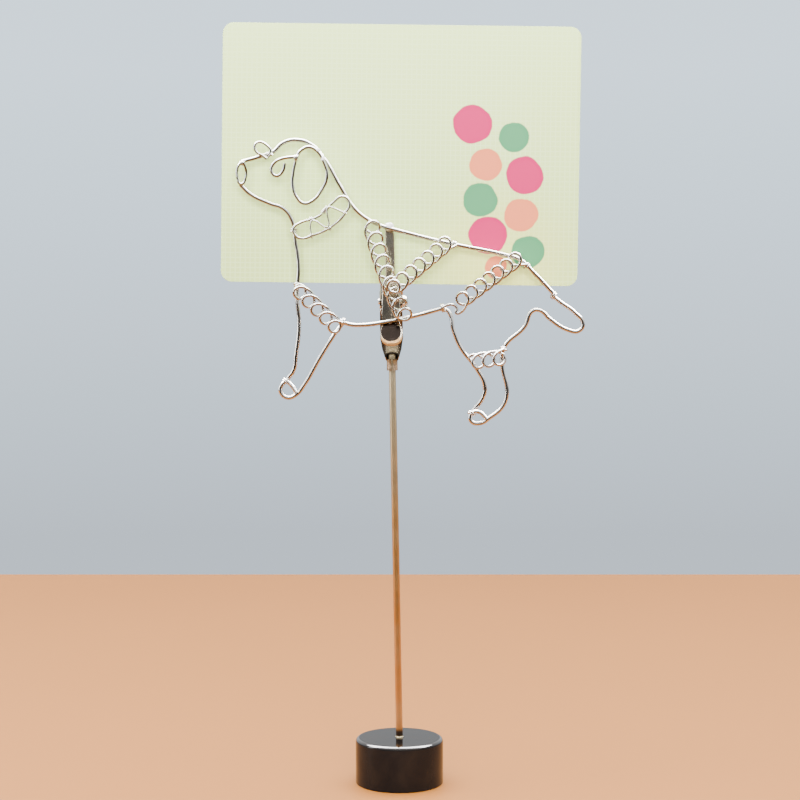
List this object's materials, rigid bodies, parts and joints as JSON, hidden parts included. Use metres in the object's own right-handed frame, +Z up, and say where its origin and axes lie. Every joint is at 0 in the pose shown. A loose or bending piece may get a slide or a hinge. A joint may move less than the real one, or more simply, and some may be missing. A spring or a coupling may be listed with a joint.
{
  "type": "memo clip holder",
  "caption": "Desk memo holder: round black weight, thin leaning rod and a sprung alligator clip that grips a memo card and carries a walking dog bent from silver wire, with flattened coils.",
  "frame": {"origin": "middle of the weight's underside, where it rests on the table", "axes": "+Z up, +X to the right of somebody facing the wire figure, -Y toward that person"},
  "size_m": [0.1241, 0.0322, 0.2623],
  "materials": {
    "black_lacquer": "gloss black lacquer",
    "drawn_steel": "polished",
    "nickel_sheet": "nickel plated",
    "nickel_rivet": "nickel plated",
    "spring_steel": "bright drawn",
    "memo_paper": "matt coated card",
    "silver_wire": "bright drawn",
    "solder": "bright"
  },
  "bodies": {
    "stand": {"base_weight": "black_lacquer", "stem_rod": "drawn_steel", "clip_back_jaw": "nickel_sheet", "clip_rivet": "nickel_rivet", "clip_spring": "spring_steel", "memo_card": "memo_paper"},
    "front_jaw": {"clip_front_jaw": "nickel_sheet", "back_wire": "silver_wire", "tail_wire": "silver_wire", "chest_wire": "silver_wire", "front_leg_wire": "silver_wire", "belly_wire": "silver_wire", "hind_leg_wire": "silver_wire", "nose_ring": "silver_wire", "brow_loop": "silver_wire", "eye_wire": "silver_wire", "ear_wire": "silver_wire", "collar_ring": "silver_wire", "collar_zigzag": "silver_wire", "shoulder_coil": "silver_wire", "flank_coil": "silver_wire", "chest_coil": "silver_wire", "haunch_coil": "silver_wire", "hock_coil": "silver_wire", "tip_solder": "solder", "face_solder": "solder", "ear_solder": "solder"}
  },
  "joints": [
    {"name": "jaw_hinge", "type": "hinge", "parent": "stand", "child": "front_jaw", "pos_m": [-0.00291, -0.0047, 0.16762], "axis": [0.9998, 0, 0.0192], "range_deg": [0, 25], "stiffness_Nm_per_rad": 0.05, "springref_deg": -22.92, "deforming": ["clip_spring"]}
  ]
}
